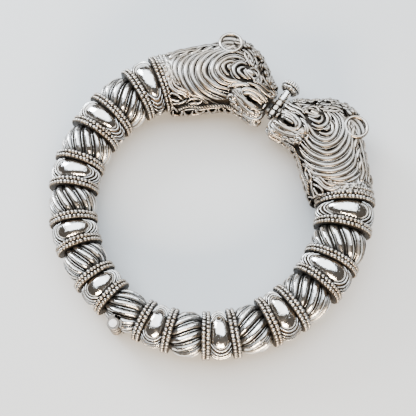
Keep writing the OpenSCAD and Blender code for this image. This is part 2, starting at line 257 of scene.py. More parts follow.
def silverFinish(name, look, carved=True):
    # Metal whose colour and gloss follow the painted brightness: black for oxide and painted shade in the
    # grooves, full colour as painted highlight on the ridges
    material = bpy.data.materials.new(name)
    material.use_nodes = True
    nodes, links = material.node_tree.nodes, material.node_tree.links
    shader = nodes["Principled BSDF"]
    shader.inputs["Metallic"].default_value = 1.0
    place = nodes.new("ShaderNodeTexCoord")

    def noise(scale, detail, roughness=0.5):
        # Noise on Object coordinates, 0 to 1
        node = nodes.new("ShaderNodeTexNoise")
        node.inputs["Scale"].default_value = scale
        node.inputs["Detail"].default_value = detail
        node.inputs["Roughness"].default_value = roughness
        links.new(place.outputs["Object"], node.inputs["Vector"])
        return node.outputs["Fac"]

    def spread(value, low, high, toLow=0.0, toHigh=1.0):
        # A stretch of the value spread over another, and clamped
        node = nodes.new("ShaderNodeMapRange")
        for socket, number in zip(("From Min", "From Max", "To Min", "To Max"), (low, high, toLow, toHigh)):
            node.inputs[socket].default_value = number
        links.new(value, node.inputs["Value"])
        return node.outputs["Result"]

    def blend(factor, first, second):
        # first + factor * (second - first) for colours and sockets
        node = nodes.new("ShaderNodeMix")
        node.data_type = "RGBA"
        for socket, value in ((node.inputs[0], factor), (node.inputs[6], first), (node.inputs[7], second)):
            if isinstance(value, (float, int)):
                socket.default_value = value
            elif isinstance(value, tuple):
                socket.default_value = (*value, 1)
            else:
                links.new(value, socket)
        return node.outputs[2]

    def bump(height, depth, under=None):
        # Relief of that depth in mm, on top of another one
        node = nodes.new("ShaderNodeBump")
        node.inputs["Distance"].default_value = depth * mm
        node.inputs["Strength"].default_value = 1.0
        links.new(height, node.inputs["Height"])
        if under:
            links.new(under, node.inputs["Normal"])
        return node.outputs["Normal"]

    tone = blend(spread(noise(look["patchScale"], 4), 0.35, 0.65), look["silver"], look["warm"])
    patina = spread(noise(look["spotScale"], 6, 0.7), 0.5, 0.72, 0.0, look["spots"])
    tone = blend(patina, tone, look["tarnish"])
    rough = spread(noise(look["smearScale"], 5, 0.65), 0.3, 0.7, look["gloss"][0], look["gloss"][1])
    # Painted brightness: black below the groove's low end as oxide and painted shade, full colour above its
    # high end as painted highlight, its edge wandering with the wear noise
    if carved:
        reliefAndShade = nodes.new("ShaderNodeAttribute")
        reliefAndShade.attribute_name = "reliefAndShade"
        wornShade = nodes.new("ShaderNodeMath")
        wornShade.operation = "ADD"
        links.new(reliefAndShade.outputs["Fac"], wornShade.inputs[0])
        wear = spread(noise(look["wearScale"], 4, 0.6), 0.2, 0.8, -look["wear"], look["wear"])
        links.new(wear, wornShade.inputs[1])
        bright = spread(wornShade.outputs[0], look["groove"][0], look["groove"][1])
        tone = blend(bright, look["black"], tone)
        roughMix = nodes.new("ShaderNodeMix")
        links.new(bright, roughMix.inputs[0])
        roughMix.inputs[2].default_value = look["grooveGloss"]
        links.new(rough, roughMix.inputs[3])
        rough = roughMix.outputs[0]
    links.new(tone, shader.inputs["Base Color"])
    links.new(rough, shader.inputs["Roughness"])
    hammered = bump(noise(look["hammerScale"], 3, 0.55), look["hammerDepth"])
    fine = bump(noise(look["fineScale"], 6, 0.7), look["fineDepth"], hammered)
    links.new(fine, shader.inputs["Normal"])
    return material


# Colours in the light's own scale, gloss as roughness from the smoothest to the roughest patch, scales per
# metre and depths in mm
oxideAndShadeLook = {
    "silver": (0.70, 0.66, 0.61),
    "warm": (0.56, 0.46, 0.36),
    "tarnish": (0.26, 0.21, 0.16),
    "black": (0.03, 0.025, 0.02),    # oxide and painted shade at the foot of a groove
    "spots": 0.45,            # how much of the tarnish its spots show
    "gloss": (0.11, 0.27),
    "groove": (0.3, 1.0),     # painted brightness at which the black ends and the full colour starts
    "grooveGloss": 0.55,
    "wear": 0.12,             # how far the groove's edge wanders
    "patchScale": 260,
    "spotScale": 900,
    "smearScale": 700,
    "wearScale": 1400,
    "hammerScale": 900,
    "hammerDepth": 0.05,
    "fineScale": 4200,
    "fineDepth": 0.012,
}
brightLook = dict(oxideAndShadeLook, silver=(0.95, 0.94, 0.92), warm=(0.88, 0.82, 0.74), spots=0.3,
                  gloss=(0.06, 0.2), hammerScale=620, hammerDepth=0.19, fineDepth=0.006)
# Domes: a browner black, for oxide and painted shade in the pits round them
domeLook = dict(brightLook, black=(0.13, 0.1, 0.075), groove=(0.2, 0.95))
fittingLook = dict(oxideAndShadeLook, gloss=(0.14, 0.3))
# Hinge tubes: silver painted dark, a painted reflection of dark surroundings on their polished upright sides,
# with painted shade
tubeDarkReflectionLook = dict(oxideAndShadeLook, silver=(0.20, 0.18, 0.16), warm=(0.13, 0.105, 0.08), spots=0.8,
                gloss=(0.2, 0.4))
oxidisedSilverWithShade = silverFinish("oxidised_silver_with_painted_shade", oxideAndShadeLook)
brightSilver = silverFinish("bright_silver_with_painted_shade", brightLook)
domeSilver = silverFinish("bright_silver_of_domes_with_painted_shade", domeLook)
fittingSilver = silverFinish("silver_of_fittings", fittingLook, carved=False)
tubeSilverDarkReflection = silverFinish("silver_of_tubes_with_painted_dark_reflection", tubeDarkReflectionLook, carved=False)
print("finishes made")

# Collars: two rows of granules on a strip
collar = {
    "granulePitch": 1.05,     # along the row
    "granuleRadius": 0.58,
    "rowApart": 1.1,
    "stripDrop": 0.62,        # strip under the rim
    "sideDrop": 0.95,         # its side edges under the rim
    "bevel": 0.12,
    "stripGroove": 0.2,       # between the rows
    "bore": 0.4,
    "spacing": 0.012,         # how unevenly the granules are set round the row, in radians
    "straying": 0.02,         # and out of it
    "unevenness": 0.07,       # of their sizes
    "seed": 11,
}
granulePoints, granuleQuads, granuleTris = ballUnit(8, 5)
draw = np.random.RandomState(collar["seed"])


def collarShells(turn, side):
    # Strip: a flat ring of radius r - drop; granules: balls at (row, a) on circles of radius r - ball
    r = rim(turn)
    ball = collar["granuleRadius"]
    halfWidth = band["collarWidth"] / 2
    top = r - collar["stripDrop"]
    a = circle(96)
    half = np.array([[-halfWidth, collar["bore"]], [-halfWidth, r - collar["sideDrop"]],
                     [-halfWidth + collar["bevel"], top], [-collar["bevel"], top]])
    profile = np.concatenate([half, [[0, top - collar["stripGroove"]]], half[::-1] * [-1, 1]])
    rows = np.stack([profile[:, :1] * np.ones(96), -band["midRadius"] - profile[:, 1:] * np.cos(a),
                     profile[:, 1:] * np.sin(a)], -1)
    # Painted brightness across the strip: oxide and painted shade in the groove between the rows and at its
    # sides
    stripFade = np.array([0, 0.25, 0.4, 0.2, 0, 0.2, 0.4, 0.25, 0])
    shells = [gridShell(rows, np.tile(stripFade[:, None], (1, 96)))]
    count = int(round(turnAll * (r - ball) / collar["granulePitch"]))
    for row in (-1, 1):
        a = (np.arange(count) + 0.25 * row) * turnAll / count + draw.normal(0, collar["spacing"], count)
        centres = np.stack([row * collar["rowApart"] / 2 + draw.normal(0, collar["straying"], count),
                            -band["midRadius"] - (r - ball) * np.cos(a), (r - ball) * np.sin(a)], -1)
        along = np.stack([np.zeros(count), np.sin(a), np.cos(a)], -1)
        axes = np.stack([outFrom(a), along, np.tile([1.0, 0, 0], (count, 1))], 1)
        sizes = ball * (1 - np.abs(draw.normal(0, collar["unevenness"], count)))
        # Granules painted bright on their outer side as a highlight, shaded on the inner
        fade = 0.2 + 0.8 * np.clip(granulePoints[:, 0] * 1.2, 0, 1)
        shells.append(manyShells(granulePoints, fade, granuleQuads, granuleTris, centres, axes, sizes))
    return onBand(shells, side, turn)


for sideName, side in sides.items():
    for i, turn in enumerate(allTurns):
        node = f"neck_collar_{sideName}" if i == len(collarTurns) else f"collar_{sideName}_{i + 1}"
        makePiece(f"beaded_{node}", collarShells(turn, side), sideName + "_half", oxidisedSilverWithShade,
                  [node])
print("collars made")

# Swirl beads, with twisted flutes
bead = {
    "fall": 1.5,              # from the middle of the bead to its ends
    "fallPower": 2.6,
    "outerLean": 0.25,        # how much more it falls on the outer side of the ring
    "lobes": 12,
    "twist": 42,              # degrees from end to end
    "grooveDepth": 1.05,
    "shallow": 0.45,          # how much of that depth goes towards the ends
    "spindle": 1.3,           # how much wider a groove is at its middle
    "unevenness": 0.05,
    "threadAt": 0.83,         # share of a lobe at which its thread lies
    "threadHeight": 0.3,      # over the foot of the groove
    "threadRadius": 0.12,
    "threadLong": 0.97,
}


def reach(halfTurn, out):
    # Half length of a bead at an offset outwards, up to the slanting face of its collar
    a = np.radians(halfTurn)
    return ((band["midRadius"] + out) * np.sin(a) - band["collarWidth"] / 2 - band["seam"]) / np.cos(a)


def beadFall(share):
    # |s|^p, 0 at the middle of a bead and 1 at its ends
    return np.abs(share) ** bead["fallPower"]


def onBead(share, a, r, halfTurn, start=0.0):
    # (share, a, r) to mm at the hinge: out = r cos a, z = r sin a, x = share of the reach at that offset
    out = r * np.cos(a)
    far = np.sign(share) * reach(halfTurn, out)
    return np.stack([start + (far - start) * np.abs(share), -band["midRadius"] - out, r * np.sin(a)], -1)


# Section of a lobe with its groove: share of the lobe, then height from 0 to 1
lobeSteps = np.array([0, .03, .09, .18, .3, .42, .54, .64, .71, .76, .80, .88, .95])
lobeHeights = np.array([.0, .45, .74, .93, 1, 1, .92, .74, .45, .05, .0, .0, .0])


def swirlShells(turn, halfTurn, side, seed, fromShare=-1.0, toShare=1.0, start=0.0):
    # Lobes: r = crown - fall * |s|^p * (1 + lean cos a) - depth * (1 - lobe(phase)^(1 + spindle (1 - s^2))),
    # with a = phase + twist * s / 2
    crown = rim(turn) - band["crownDrop"]
    luck = np.random.RandomState(seed)
    share = np.linspace(fromShare, toShare, int(17 * (toShare - fromShare)) + 1)[:, None]
    phase = ((np.arange(bead["lobes"])[:, None] + lobeSteps) / bead["lobes"]).ravel()[None] * turnAll
    lobe = np.tile(lobeHeights, bead["lobes"])[None] ** (1 + bead["spindle"] * (1 - share ** 2))
    size = np.repeat(1 + luck.normal(0, bead["unevenness"], bead["lobes"]), len(lobeSteps))[None]
    depth = bead["grooveDepth"] * (1 - bead["shallow"] * beadFall(share))
    base = crown - bead["fall"] * beadFall(share) * (1 + bead["outerLean"] * np.cos(phase))
    a = phase + np.radians(bead["twist"]) * share / 2
    rows = onBead(share, a, base - depth * (1 - lobe * size), halfTurn, start)
    # Painted brightness: highlight on the lobes, oxide and painted shade in the grooves, dimmer towards the
    # ends
    fade = np.clip(lobe * (1 - 0.45 * np.abs(share) ** 4), 0, 1) * np.ones_like(rows[..., 0])
    shells = [cappedShell(rows, fade)]
    s = np.linspace(fromShare, toShare, 13 if toShare - fromShare > 1 else 8)
    for k in range(bead["lobes"]):
        p = turnAll * (k + bead["threadAt"]) / bead["lobes"]
        fall = crown - bead["fall"] * beadFall(s) * (1 + bead["outerLean"] * np.cos(p))
        r = fall - bead["grooveDepth"] * (1 - bead["threadHeight"]) * (1 - 0.3 * beadFall(s))
        a = p + np.radians(bead["twist"]) * s / 2
        path = onBead(s * bead["threadLong"], a, r, halfTurn, start)
        shells.append(wireShell(path, outFrom(a), bead["threadRadius"], bead["threadRadius"] * 1.5, 6, 0.6))
    return onBand(shells, side, turn)


# Plain beads: a bright dome on each face, with thin wires round it
plain = {
    "fall": 0.8,              # share of a swirl bead's
    "panelHalf": 47.0,        # degrees from the top
    "panelSquare": 0.8,       # weight of the way along in the oval distance
    "panelEdge": (0.93, 1.07),    # oval distances between which the dome falls into its pit
    "pit": 0.55,
    "bulge": 0.12,
    "wires": 4,
    "wireFrom": 1.1,          # oval distance of the first wire
    "wireStep": 11.5,         # degrees from wire to wire
    "wireLong": 0.97,
    "wireRadius": 0.2,
    "wireLift": 0.34,         # over the pit
}


def plainShells(turn, halfTurn, side):
    # Dome: r = crown - fall - pit * edge + bulge * (1 - d^2), edge = smooth step of the oval distance
    # d = sqrt(t^2 + w s^2) from the panel's middle, t = degrees over the panel's, s = share of the reach
    crown = rim(turn) - band["crownDrop"]
    share = np.linspace(-1, 1, 25)[:, None]
    a = circle(128)[None]
    fromTop = np.degrees(np.abs(np.abs(np.mod(a + np.pi, turnAll) - np.pi) - np.pi / 2))
    oval = np.sqrt((fromTop / plain["panelHalf"]) ** 2 + plain["panelSquare"] * share ** 2)
    edge = stepUp(oval, *plain["panelEdge"])
    bulge = plain["bulge"] * (1 - np.clip(oval, 0, 1) ** 2)
    base = crown - plain["fall"] * bead["fall"] * beadFall(share)
    # The dome painted bright and the pit round it painted dark: oxide and painted shade
    shells = [cappedShell(onBead(share, a, base - plain["pit"] * edge + bulge, halfTurn), 1 - edge * 0.95)]
    for k in range(plain["wires"]):
        # A wire keeps its oval distance d, so that |s| = sqrt((d^2 - t^2) / w)
        d = plain["wireFrom"] + k * plain["wireStep"] / plain["panelHalf"]
        wireReach = min(plain["wireLong"], np.sqrt(max(d * d - 0.01, 0) / plain["panelSquare"]))
        s = np.linspace(-wireReach, wireReach, 17)
        t = np.sqrt(np.maximum(d * d - plain["panelSquare"] * s ** 2, 0.0)) * plain["panelHalf"]
        r = crown - plain["fall"] * bead["fall"] * beadFall(s) - plain["pit"] + plain["wireLift"]
        for face, flank in ((1, 1), (1, -1), (-1, 1), (-1, -1)):
            angle = np.radians(face * (90 - flank * t))
            shells.append(wireShell(onBead(s, angle, r, halfTurn), outFrom(angle), plain["wireRadius"],
                                    plain["wireRadius"] * 1.7, 6, 0.6))
    return onBand(shells, side, turn)


spans = [((start + end) / 2, (end - start) / 2) for start, end in zip(allTurns[:-1], allTurns[1:])]
for sideName, side in sides.items():
    # Along each half, plain and swirl beads take turns between one collar and the next
    for i, (middle, half) in enumerate(spans[0::2]):
        node = f"plain_bead_{sideName}_{i + 1}"
        makePiece("domed_" + node, plainShells(middle, half, side), sideName + "_half", domeSilver,
                  [node])
    for i, (middle, half) in enumerate(spans[1::2]):
        node = f"swirl_bead_{sideName}_{i + 1}"
        makePiece("fluted_" + node, swirlShells(middle, half, side, 20 + i), sideName + "_half", brightSilver,
                  [node])
print("beads made")

# The bead that the hinge splits, and the hinge
hinge = {
    "at": 42.8,               # from the middle of the ring
    "clear": 2.35,            # radius kept free round the axis
    "tubeRadius": 1.55,
    "knuckle": 3.0,           # length of a knuckle
    "ringInset": 0.35,
    "ringWide": 0.17,
    "ringHigh": 0.13,
}


def hingeBeadShells(side):
    # Half a swirl bead; x is raised to sqrt(clear^2 - (y + at)^2) where the hinge tube goes
    fromShare, toShare, start = (0.0, 1.0, band["seam"]) if side > 0 else (-1.0, 0.0, -band["seam"])
    shells = swirlShells(0, band["hingeTurn"] / 2, side, 5, fromShare, toShare, start)
    cut = []
    for points, quads, tris, fade in shells:
        y = points[:, 1] + hinge["at"]
        edge = np.sqrt(np.maximum(hinge["clear"] ** 2 - y ** 2, 0)) * (np.abs(y) < hinge["clear"])
        x = side * np.maximum(side * points[:, 0], np.maximum(edge, band["seam"]))
        cut.append((np.stack([x, points[:, 1], points[:, 2]], -1), quads, tris, fade))
    return cut


for sideName, side in sides.items():
    makePiece("fluted_hinge_bead_" + sideName, hingeBeadShells(side), sideName + "_half", brightSilver,
              ["hinge_bead_" + sideName], 60)
# Hinge tubes take the silver painted with a dark reflection, the rivet the plain fitting silver
for node in ("hinge_leaf_left", "hinge_leaf_right", "hinge_rivet"):
    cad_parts[node].data.materials.clear()
    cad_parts[node].data.materials.append(fittingSilver if node == "hinge_rivet" else tubeSilverDarkReflection)


def hingeRings(knuckles):
    # Rings round the hinge tube: two on each knuckle, at (R cos u, -at + R sin u, z)
    middle = np.mean([corner[2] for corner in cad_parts["hinge_rivet"].bound_box]) / mm
    u = circle(32)
    outwards = np.stack([np.cos(u), np.sin(u), np.zeros(32)], -1)
    shells = []
    for knuckle in knuckles:
        for up in (hinge["ringInset"], hinge["knuckle"] - hinge["ringInset"]):
            z = middle + hinge["knuckle"] * (knuckle - 1.5) + up
            path = outwards * hinge["tubeRadius"] + np.array([0, -hinge["at"], z])
            shells.append(wireShell(path, outwards, hinge["ringWide"], hinge["ringHigh"], 8, closed=True))
    return shells


for sideName, knuckles in (("left", (0, 2)), ("right", (1,))):
    makePiece("rings_of_hinge_" + sideName, hingeRings(knuckles), sideName + "_half", oxidisedSilverWithShade,
              [])
print("hinge made")

# Heads, worked out for the right side and mirrored for the left
head = {
    "fromTurn": 124.69,       # degrees round the ring from the hinge
    "toTurn": 177.6,
    "height": 19.5,
    "width": 15.4,
    "length": 33.5,           # along its middle
    "front": 1.85,            # snout from the middle plane
    "power": 0.8,             # of the section: 1 is an ellipse, less is squarer
    "browPowers": (0.8, 1.0, 1.25, 1.15, 0.8),
    "sink": 0.9,              # skin under the solid's, so that the hair lies proud
    "reliefHigh": 0.75,
    "pitAt": (24.3, 17.35),   # the hollow by the neck, sunk and painted dark as shade, in plan
    "pitSize": (1.5, 0.75),
    "strandWide": 0.68,
    "strandHigh": 0.66,
    "strandUp": 0.02,
    "curlMiddle": (15.5, 33.5),
    "threadAway": 0.85,       # a thin strand beside each lock
    "threadWide": 0.17,
    "threadUp": -0.28,
    "ropePitch": 3.4,         # turn of a rope's wires, in half widths
    "ropeWire": 0.55,         # radius of such a wire, in half widths
    "seed": 3,
}
# Share along the head, then its outer and inner edge and half width as shares
headRows = np.array([
    [0.00, 0.41, 0.49, 0.48], [0.07, 0.40, 0.53, 0.50], [0.20, 0.39, 0.55, 0.50], [0.30, 0.41, 0.55, 0.50],
    [0.39, 0.45, 0.54, 0.50], [0.48, 0.50, 0.53, 0.49], [0.57, 0.53, 0.51, 0.47], [0.67, 0.475, 0.52, 0.44],
    [0.75, 0.38, 0.55, 0.40], [0.81, 0.265, 0.58, 0.36], [0.87, 0.15, 0.61, 0.31], [0.92, 0.07, 0.62, 0.26],
    [0.97, 0.03, 0.60, 0.22], [1.00, 0.00, 0.51, 0.18]])


def headEdges(along):
    # Radii of the outer and the inner edge, and the half width
    outer = band["midRadius"] + head["height"] * np.interp(along, headRows[:, 0], headRows[:, 1])
    inner = band["midRadius"] - head["height"] * np.interp(along, headRows[:, 0], headRows[:, 2])
    return outer, inner, head["width"] * np.interp(along, headRows[:, 0], headRows[:, 3])


def headPlace(along, r, z):
    # (r sin turn, -r cos turn, z) at the share along the head
    turn = np.radians(head["fromTurn"] + (head["toTurn"] - head["fromTurn"]) * along)
    return np.stack([r * np.sin(turn), -r * np.cos(turn), band["neckRadius"] + z], -1)


def sectionPower(along, outside):
    # p of the section: higher over the snout and the forehead, where the outer corners fall away
    browPower = np.interp(along, [0.6, 0.72, 0.82, 0.92, 1.0], head["browPowers"])
    return np.where(outside, browPower, head["power"])


def skinPoint(along, v):
    # Superellipse section: r = middle + half * c|c|^(p-1), z = width * s|s|^(p-1), c = cos v, s = sin v
    outer, inner, wide = headEdges(along)
    c, s = np.cos(v), np.sin(v)
    p = sectionPower(along, c > 0)
    r = (outer + inner) / 2 + (outer - inner) / 2 * np.sign(c) * np.abs(c) ** p
    return headPlace(along, r, wide * np.sign(s) * np.abs(s) ** p)


def skinHeight(x, y):
    # z = width * (1 - share^(2/p))^(p/2), share = distance from the middle over the half height
    r, turn = np.hypot(x, y), np.degrees(np.arctan2(x, -y))
    along = np.clip((turn - head["fromTurn"]) / (head["toTurn"] - head["fromTurn"]), 0, 1)
    outer, inner, wide = headEdges(along)
    share = np.clip(np.abs(r - (outer + inner) / 2) / ((outer - inner) / 2), 0, 0.985)
    p = sectionPower(along, r > (outer + inner) / 2)
    return wide * (1 - share ** (2 / p)) ** (p / 2)


def onCheek(plan, face, up):
    # A path in plan laid on the skin, with the skin's normal = (-dz/dx, -dz/dy, 1)
    x, y = plan[:, 0], plan[:, 1]
    z = skinHeight(x, y)
    step = 0.15
    slopeX = (skinHeight(x + step, y) - skinHeight(x - step, y)) / (2 * step)
    slopeY = (skinHeight(x, y + step) - skinHeight(x, y - step)) / (2 * step)
    normal = unitOf(np.stack([-slopeX, -slopeY, np.ones_like(x)], -1))
    points = np.stack([x, y, z], -1) + normal * up
    points[:, 2] = band["neckRadius"] + face * points[:, 2]
    normal[:, 2] *= face
    return points, normal


def pebbles(s, q, pitch, radius, seed):
    # Height of the highest of many domes: sqrt(1 - (d / radius)^2) over jittered points of a lattice
    luck = np.random.RandomState(seed).rand(64, 64, 2)
    row, column = np.floor(s / pitch).astype(int), np.floor(q / pitch).astype(int)
    height = np.zeros(np.broadcast(s, q).shape)
    for i in (-1, 0, 1):
        for j in (-1, 0, 1):
            spot = luck[(row + i) % 64, (column + j) % 64]
            ds = s / pitch - (row + i + 0.25 + 0.5 * spot[..., 0])
            dq = q / pitch - (column + j + 0.25 + 0.5 * spot[..., 1])
            height = np.maximum(height, 1 - (ds ** 2 + dq ** 2) * (pitch / radius) ** 2)
    return np.sqrt(np.maximum(height, 0))


def headSkin():
    # skin = superellipse point + normal * (high * relief - sink); granules at the neck, ridges along the
    # nape, pebbles on the brow and the jaw, a slit for the mouth and a hollow by the neck
    along = np.linspace(0, 1, 112)[:, None]
    v = circle(210)[None]
    base = skinPoint(along, v)
    across = np.roll(base, -1, 1) - np.roll(base, 1, 1)
    normal = unitOf(np.cross(across, np.gradient(base, axis=0)))
    outwards = base - base.mean(1, keepdims=True)
    normal *= np.sign((normal * outwards).sum(-1, keepdims=True))
    s = along * head["length"] + 0 * v
    q = v * 9.3 + 0 * along   # round the head, in about mm
    x, y, z = base[..., 0], base[..., 1], base[..., 2] - band["neckRadius"]
    neck = (1 - stepUp(s, 3.4, 4.4)) * stepUp(np.cos(v), -0.5, -0.3)
    nape = stepUp(np.cos(v), 0.45, 0.8) * (1 - stepUp(along, 0.42, 0.5)) * (1 - neck)
    brow = stepUp(np.cos(v), 0.2, 0.5) * stepUp(along, 0.5, 0.56)
    jaw = stepUp(-np.cos(v), 0.3, 0.5) * stepUp(along, 0.58, 0.64)
    ridges = np.abs(np.cos(np.pi * (z + 0.5 * np.sin(s * 0.55)) / 1.9)) ** 0.7
    reliefAndShade = 0.25 * np.ones_like(s)
    reliefAndShade = np.maximum(reliefAndShade, neck * pebbles(s, q, 0.8, 0.55, 1))
    reliefAndShade = np.maximum(reliefAndShade, nape * (0.35 + 0.65 * ridges))
    reliefAndShade = np.maximum(reliefAndShade, brow * (0.55 + 0.45 * pebbles(s, z, 1.25, 0.85, 2)))
    reliefAndShade = np.maximum(reliefAndShade, jaw * (0.35 + 0.6 * pebbles(s, q, 0.9, 0.62, 4)))
    (pitX, pitY), (pitWide, pitHigh) = head["pitAt"], head["pitSize"]
    reliefAndShade = np.where(((x - pitX) / pitWide) ** 2 + ((y - pitY) / pitHigh) ** 2 < 1, -0.9, reliefAndShade)
    slit = mouthDepth(x, y)
    points = base + normal * (reliefAndShade * head["reliefHigh"] - head["sink"])[..., None]
    points[..., 2] -= np.sign(z) * slit * mouth["deep"]
    points[..., 0] = np.maximum(points[..., 0], head["front"])
    # Painted brightness: the relief, lifted over the brow as a painted highlight against the curls' own
    # shade, with painted shade in the mouth's slit and in the hollow
    return cappedShell(points, np.clip(reliefAndShade + 0.35 * brow - slit, 0, 1))


mouth = {
    "corner": 8.4,            # x of its corner
    "long": 4.2,
    "wide": 0.95,             # half width
    "at": 29.5,               # y of its corner
    "slant": 0.55,            # rise to its front
    "deep": 2.2,
}


def mouthDepth(x, y):
    # Smooth step of 1 - |y - middle| / width inside a leaf: width = wide * sin(pi t)^0.8, t from its corner
    t = (mouth["corner"] - x) / mouth["long"]
    width = mouth["wide"] * np.sin(np.pi * np.clip(t, 0, 1)) ** 0.8
    middle = mouth["at"] + mouth["slant"] * t
    return stepUp(1 - np.abs(y - middle) / np.maximum(width, 0.01), 0, 0.35)


# Strands of hair in plan, in mm: half width as a share, then the points they go through
hair = [
    (0.9, [(14.9, 31.2), (16.3, 31.2), (17.5, 31.9), (17.9, 33.3), (17.0, 34.9), (15.3, 35.7)]),
    (0.8, [(15.2, 32.6), (16.3, 32.9), (16.5, 33.8), (15.6, 34.4)]),
    (1.0, [(13.8, 38.0), (16.3, 37.3), (18.2, 35.4), (19.0, 32.7), (18.4, 30.5), (16.6, 29.6),
           (14.3, 29.9), (12.0, 31.1), (9.8, 32.0)]),
    (1.0, [(15.2, 39.4), (18.0, 38.3), (19.9, 35.9), (20.6, 32.6), (19.9, 29.9), (18.2, 28.3),
           (15.6, 28.1), (13.2, 29.0)]),
    (0.8, [(12.7, 36.2), (13.7, 34.9), (13.4, 33.7), (11.8, 33.4), (9.9, 33.6)]),
    (0.9, [(12.8, 37.2), (14.3, 36.6), (15.2, 35.2), (15.0, 33.4), (13.7, 32.3), (11.8, 32.3)]),
    (1.0, [(17.5, 39.3), (19.9, 37.3), (21.6, 34.6), (22.1, 31.4), (21.7, 28.8), (20.3, 27.0),
           (18.2, 26.5), (15.9, 26.7), (14.0, 27.5), (12.4, 28.2)]),
    (1.1, [(19.8, 38.3), (21.8, 36.2), (23.2, 33.3), (23.6, 30.7), (23.1, 28.2), (21.8, 26.2),
           (19.9, 25.1), (17.3, 24.9), (14.7, 25.6), (12.3, 26.6)]),
    (1.0, [(22.4, 36.2), (24.2, 33.6), (25.1, 31.0), (25.1, 28.6), (24.2, 26.3), (22.6, 24.5),
           (20.3, 23.5), (17.8, 23.4), (15.3, 24.0), (13.1, 25.1)]),
    (1.0, [(24.6, 33.9), (26.2, 31.0), (26.6, 28.5), (26.0, 26.0), (24.3, 23.6), (22.0, 22.3),
           (19.4, 21.9), (17.2, 22.5), (15.6, 23.2)]),
    (1.0, [(26.5, 31.9), (27.8, 29.2), (27.9, 26.8), (26.9, 24.3), (25.0, 22.3), (22.8, 21.2),
           (20.4, 20.7), (18.3, 21.3)]),
    (1.0, [(28.2, 30.2), (29.3, 27.9), (29.2, 25.6), (28.0, 23.4), (26.4, 22.0), (24.6, 21.2)]),
    (0.8, [(30.3, 28.8), (30.6, 26.9), (30.1, 24.9), (29.0, 23.1)]),
    (0.9, [(33.2, 26.6), (31.4, 29.6), (29.2, 32.2), (26.9, 34.6), (24.6, 36.6), (22.2, 38.3), (19.8, 39.7)]),
    (0.8, [(31.9, 26.2), (30.9, 28.7), (29.0, 30.9), (26.8, 33.1)]),
    (0.8, [(17.4, 40.5), (15.4, 40.6), (13.4, 39.9), (12.0, 38.8)]),
    (0.8, [(18.6, 41.7), (16.2, 42.0), (13.6, 41.4), (11.5, 40.0), (10.4, 38.6)]),
    (0.7, [(11.6, 36.6), (10.6, 37.7), (9.2, 37.5), (8.4, 36.2), (8.9, 34.9), (10.2, 34.6)]),
    (0.7, [(9.8, 32.6), (7.8, 33.4), (5.8, 33.9), (3.9, 34.1), (2.4, 34.4)]),
    (0.7, [(8.1, 34.6), (6.4, 35.0), (4.4, 35.2), (2.4, 35.6)]),
    (0.7, [(8.4, 38.0), (6.6, 37.0), (4.6, 36.5), (2.6, 36.7)]),
    (0.8, [(12.7, 28.9), (11.9, 30.3), (10.6, 31.4), (8.7, 32.0)]),
    (0.9, [(9.2, 29.1), (9.5, 30.2), (8.5, 31.3), (6.4, 32.1), (4.2, 32.4), (2.4, 31.9)]),
    (0.7, [(8.9, 29.3), (7.6, 30.6), (5.4, 31.0), (3.2, 30.9)]),
    (0.8, [(9.4, 29.0), (7.9, 28.2), (5.6, 28.0), (3.2, 28.4), (2.4, 29.4)]),
    (0.6, [(12.6, 35.6), (12.1, 34.8), (11.0, 34.2), (9.4, 34.1)]),
    (0.5, [(9.2, 34.8), (8.6, 35.4), (7.9, 35.0), (8.0, 34.3), (8.7, 34.1)]),
    (0.8, [(10.9, 28.0), (9.3, 27.4), (7.4, 27.0), (5.2, 26.8), (3.2, 27.0)]),
]
# Section of a strand, point by point from one side over its top to the other: how far out, and how bright it
# is painted, as highlight over its top and shade down its sides and under it; three ridges with two engraved
# lines between them
strandOut = np.array([1.0, 1.0, 1.03, 0.86, 1.04, 0.86, 1.03, 1.0, 1.0, 1, 1, 1, 1, 1, 1, 1])
strandFade = np.array([0.0, 0.25, 0.85, 0.55, 1.0, 0.55, 0.85, 0.25, 0, 0, 0, 0, 0, 0, 0, 0])


def strandShell(path, normals, halfWide, halfHigh):
    # path + taper(t) * out(k) * (wide * cos phi * across + high * sin phi * normal), where
    # taper = 0.12 + 0.88 * (1 - |t|^2.3)^0.75
    tangent = unitOf(np.gradient(path, axis=0))
    normals = unitOf(normals - tangent * (normals * tangent).sum(-1, keepdims=True))
    across = np.cross(tangent, normals)
    taper = 0.12 + 0.88 * (1 - np.abs(np.linspace(-1, 1, len(path))) ** 2.3) ** 0.75
    phi = circle(16)
    wide, high = halfWide * np.cos(phi) * strandOut, halfHigh * np.sin(phi) * strandOut
    section = wide[:, None] * across[:, None] + high[:, None] * normals[:, None]
    rows = path[:, None] + taper[:, None, None] * section
    return gridShell(rows, np.tile(strandFade, (len(path), 1)))


def cheekShells(face):
    # Each strand lies along its line on the cheek, with a thin wire beside the broad ones
    shells = []
    for share, plan in hair:
        count = int(6 + 2.3 * np.linalg.norm(np.diff(np.array(plan), axis=0), axis=1).sum())
        path, normal = onCheek(smoothPath(plan, count), face, head["strandUp"])
        high = head["strandHigh"] * (0.4 + 0.6 * share)
        shells.append(strandShell(path, normal, head["strandWide"] * share, high))
        if share >= 0.9:
            line = smoothPath(plan, count // 2)
            step = unitOf(np.gradient(line, axis=0))
            away = np.stack([-step[:, 1], step[:, 0]], -1)
            away *= np.sign(((line - head["curlMiddle"]) * away).sum())
            path, normal = onCheek(line + away * head["threadAway"], face, head["threadUp"])
            shells.append(wireShell(path, normal, head["threadWide"], head["strandHigh"] * 0.75, 6, 0.3))
    return shells


nape = {
    "rows": ((-52, 0.04), (-30, 0.0), (-9, 0.02), (9, 0.0), (30, 0.04), (52, 0.0)),    # degrees, and a shift
    "from": 0.075,            # shares along the head
    "to": 0.5,
    "step": 0.083,
    "lockLong": 0.1,
    "slant": 20,              # degrees
    "wide": 0.85,
    "high": 0.62,
}


